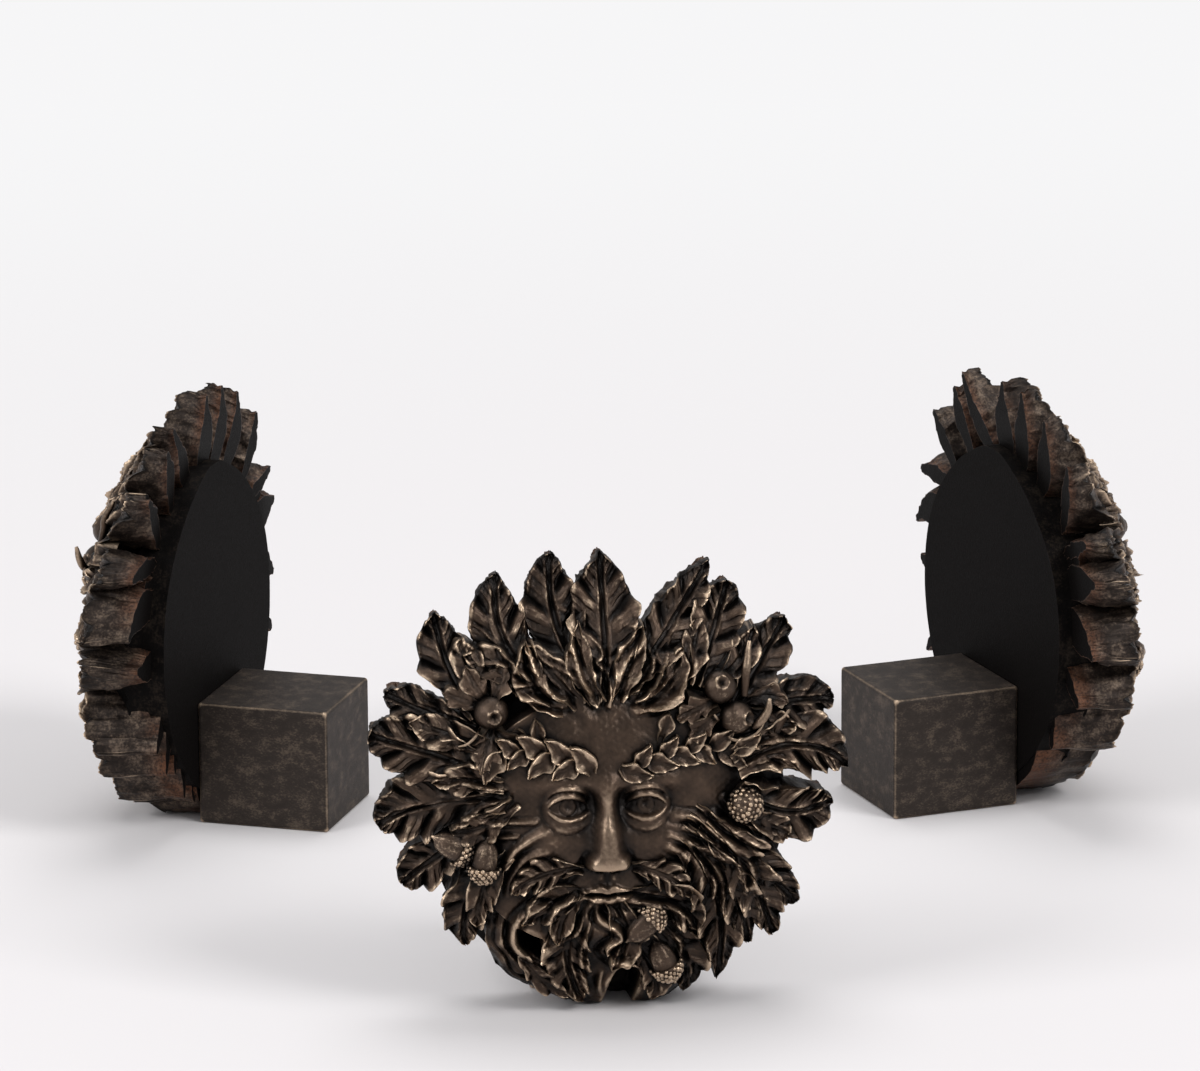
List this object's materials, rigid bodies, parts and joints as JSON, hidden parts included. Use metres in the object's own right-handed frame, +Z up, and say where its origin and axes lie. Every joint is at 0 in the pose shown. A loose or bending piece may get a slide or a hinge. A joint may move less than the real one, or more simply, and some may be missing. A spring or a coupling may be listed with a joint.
{
  "type": "leaf mask pot feet",
  "caption": "Freestanding pot feet, each a flat-backed foliate mask in relief with a plain block behind it whose flat top lifts a plant pot off the ground.",
  "frame": {"origin": "on the ground, under the middle of the box round the whole set", "axes": "+Z up; -Y towards the front foot's face, so the load stands at the middle; +X to the right as seen from the front"},
  "size_m": [0.2374, 0.2137, 0.0959],
  "materials": {
    "block_bronze": "matte",
    "back_bronze": "matte",
    "face_bronze": "satin",
    "leaf_bronze": "satin",
    "fruit_bronze": "satin"
  },
  "bodies": {
    "root": {"front_block": "block_bronze", "front_mask_body": "back_bronze", "front_face": "face_bronze", "front_crown_leaves": "leaf_bronze", "front_left_cheek_leaves": "leaf_bronze", "front_right_cheek_leaves": "leaf_bronze", "front_beard_leaves": "leaf_bronze", "front_brow_leaves": "leaf_bronze", "front_moustache_leaves": "leaf_bronze", "front_berries": "fruit_bronze", "front_berry_sprigs": "leaf_bronze", "front_acorns": "fruit_bronze", "left_block": "block_bronze", "left_mask_body": "back_bronze", "left_face": "face_bronze", "left_crown_leaves": "leaf_bronze", "left_left_cheek_leaves": "leaf_bronze", "left_right_cheek_leaves": "leaf_bronze", "left_beard_leaves": "leaf_bronze", "left_brow_leaves": "leaf_bronze", "left_moustache_leaves": "leaf_bronze", "left_berries": "fruit_bronze", "left_berry_sprigs": "leaf_bronze", "left_acorns": "fruit_bronze", "right_block": "block_bronze", "right_mask_body": "back_bronze", "right_face": "face_bronze", "right_crown_leaves": "leaf_bronze", "right_left_cheek_leaves": "leaf_bronze", "right_right_cheek_leaves": "leaf_bronze", "right_beard_leaves": "leaf_bronze", "right_brow_leaves": "leaf_bronze", "right_moustache_leaves": "leaf_bronze", "right_berries": "fruit_bronze", "right_berry_sprigs": "leaf_bronze", "right_acorns": "fruit_bronze"}
  },
  "joints": []
}
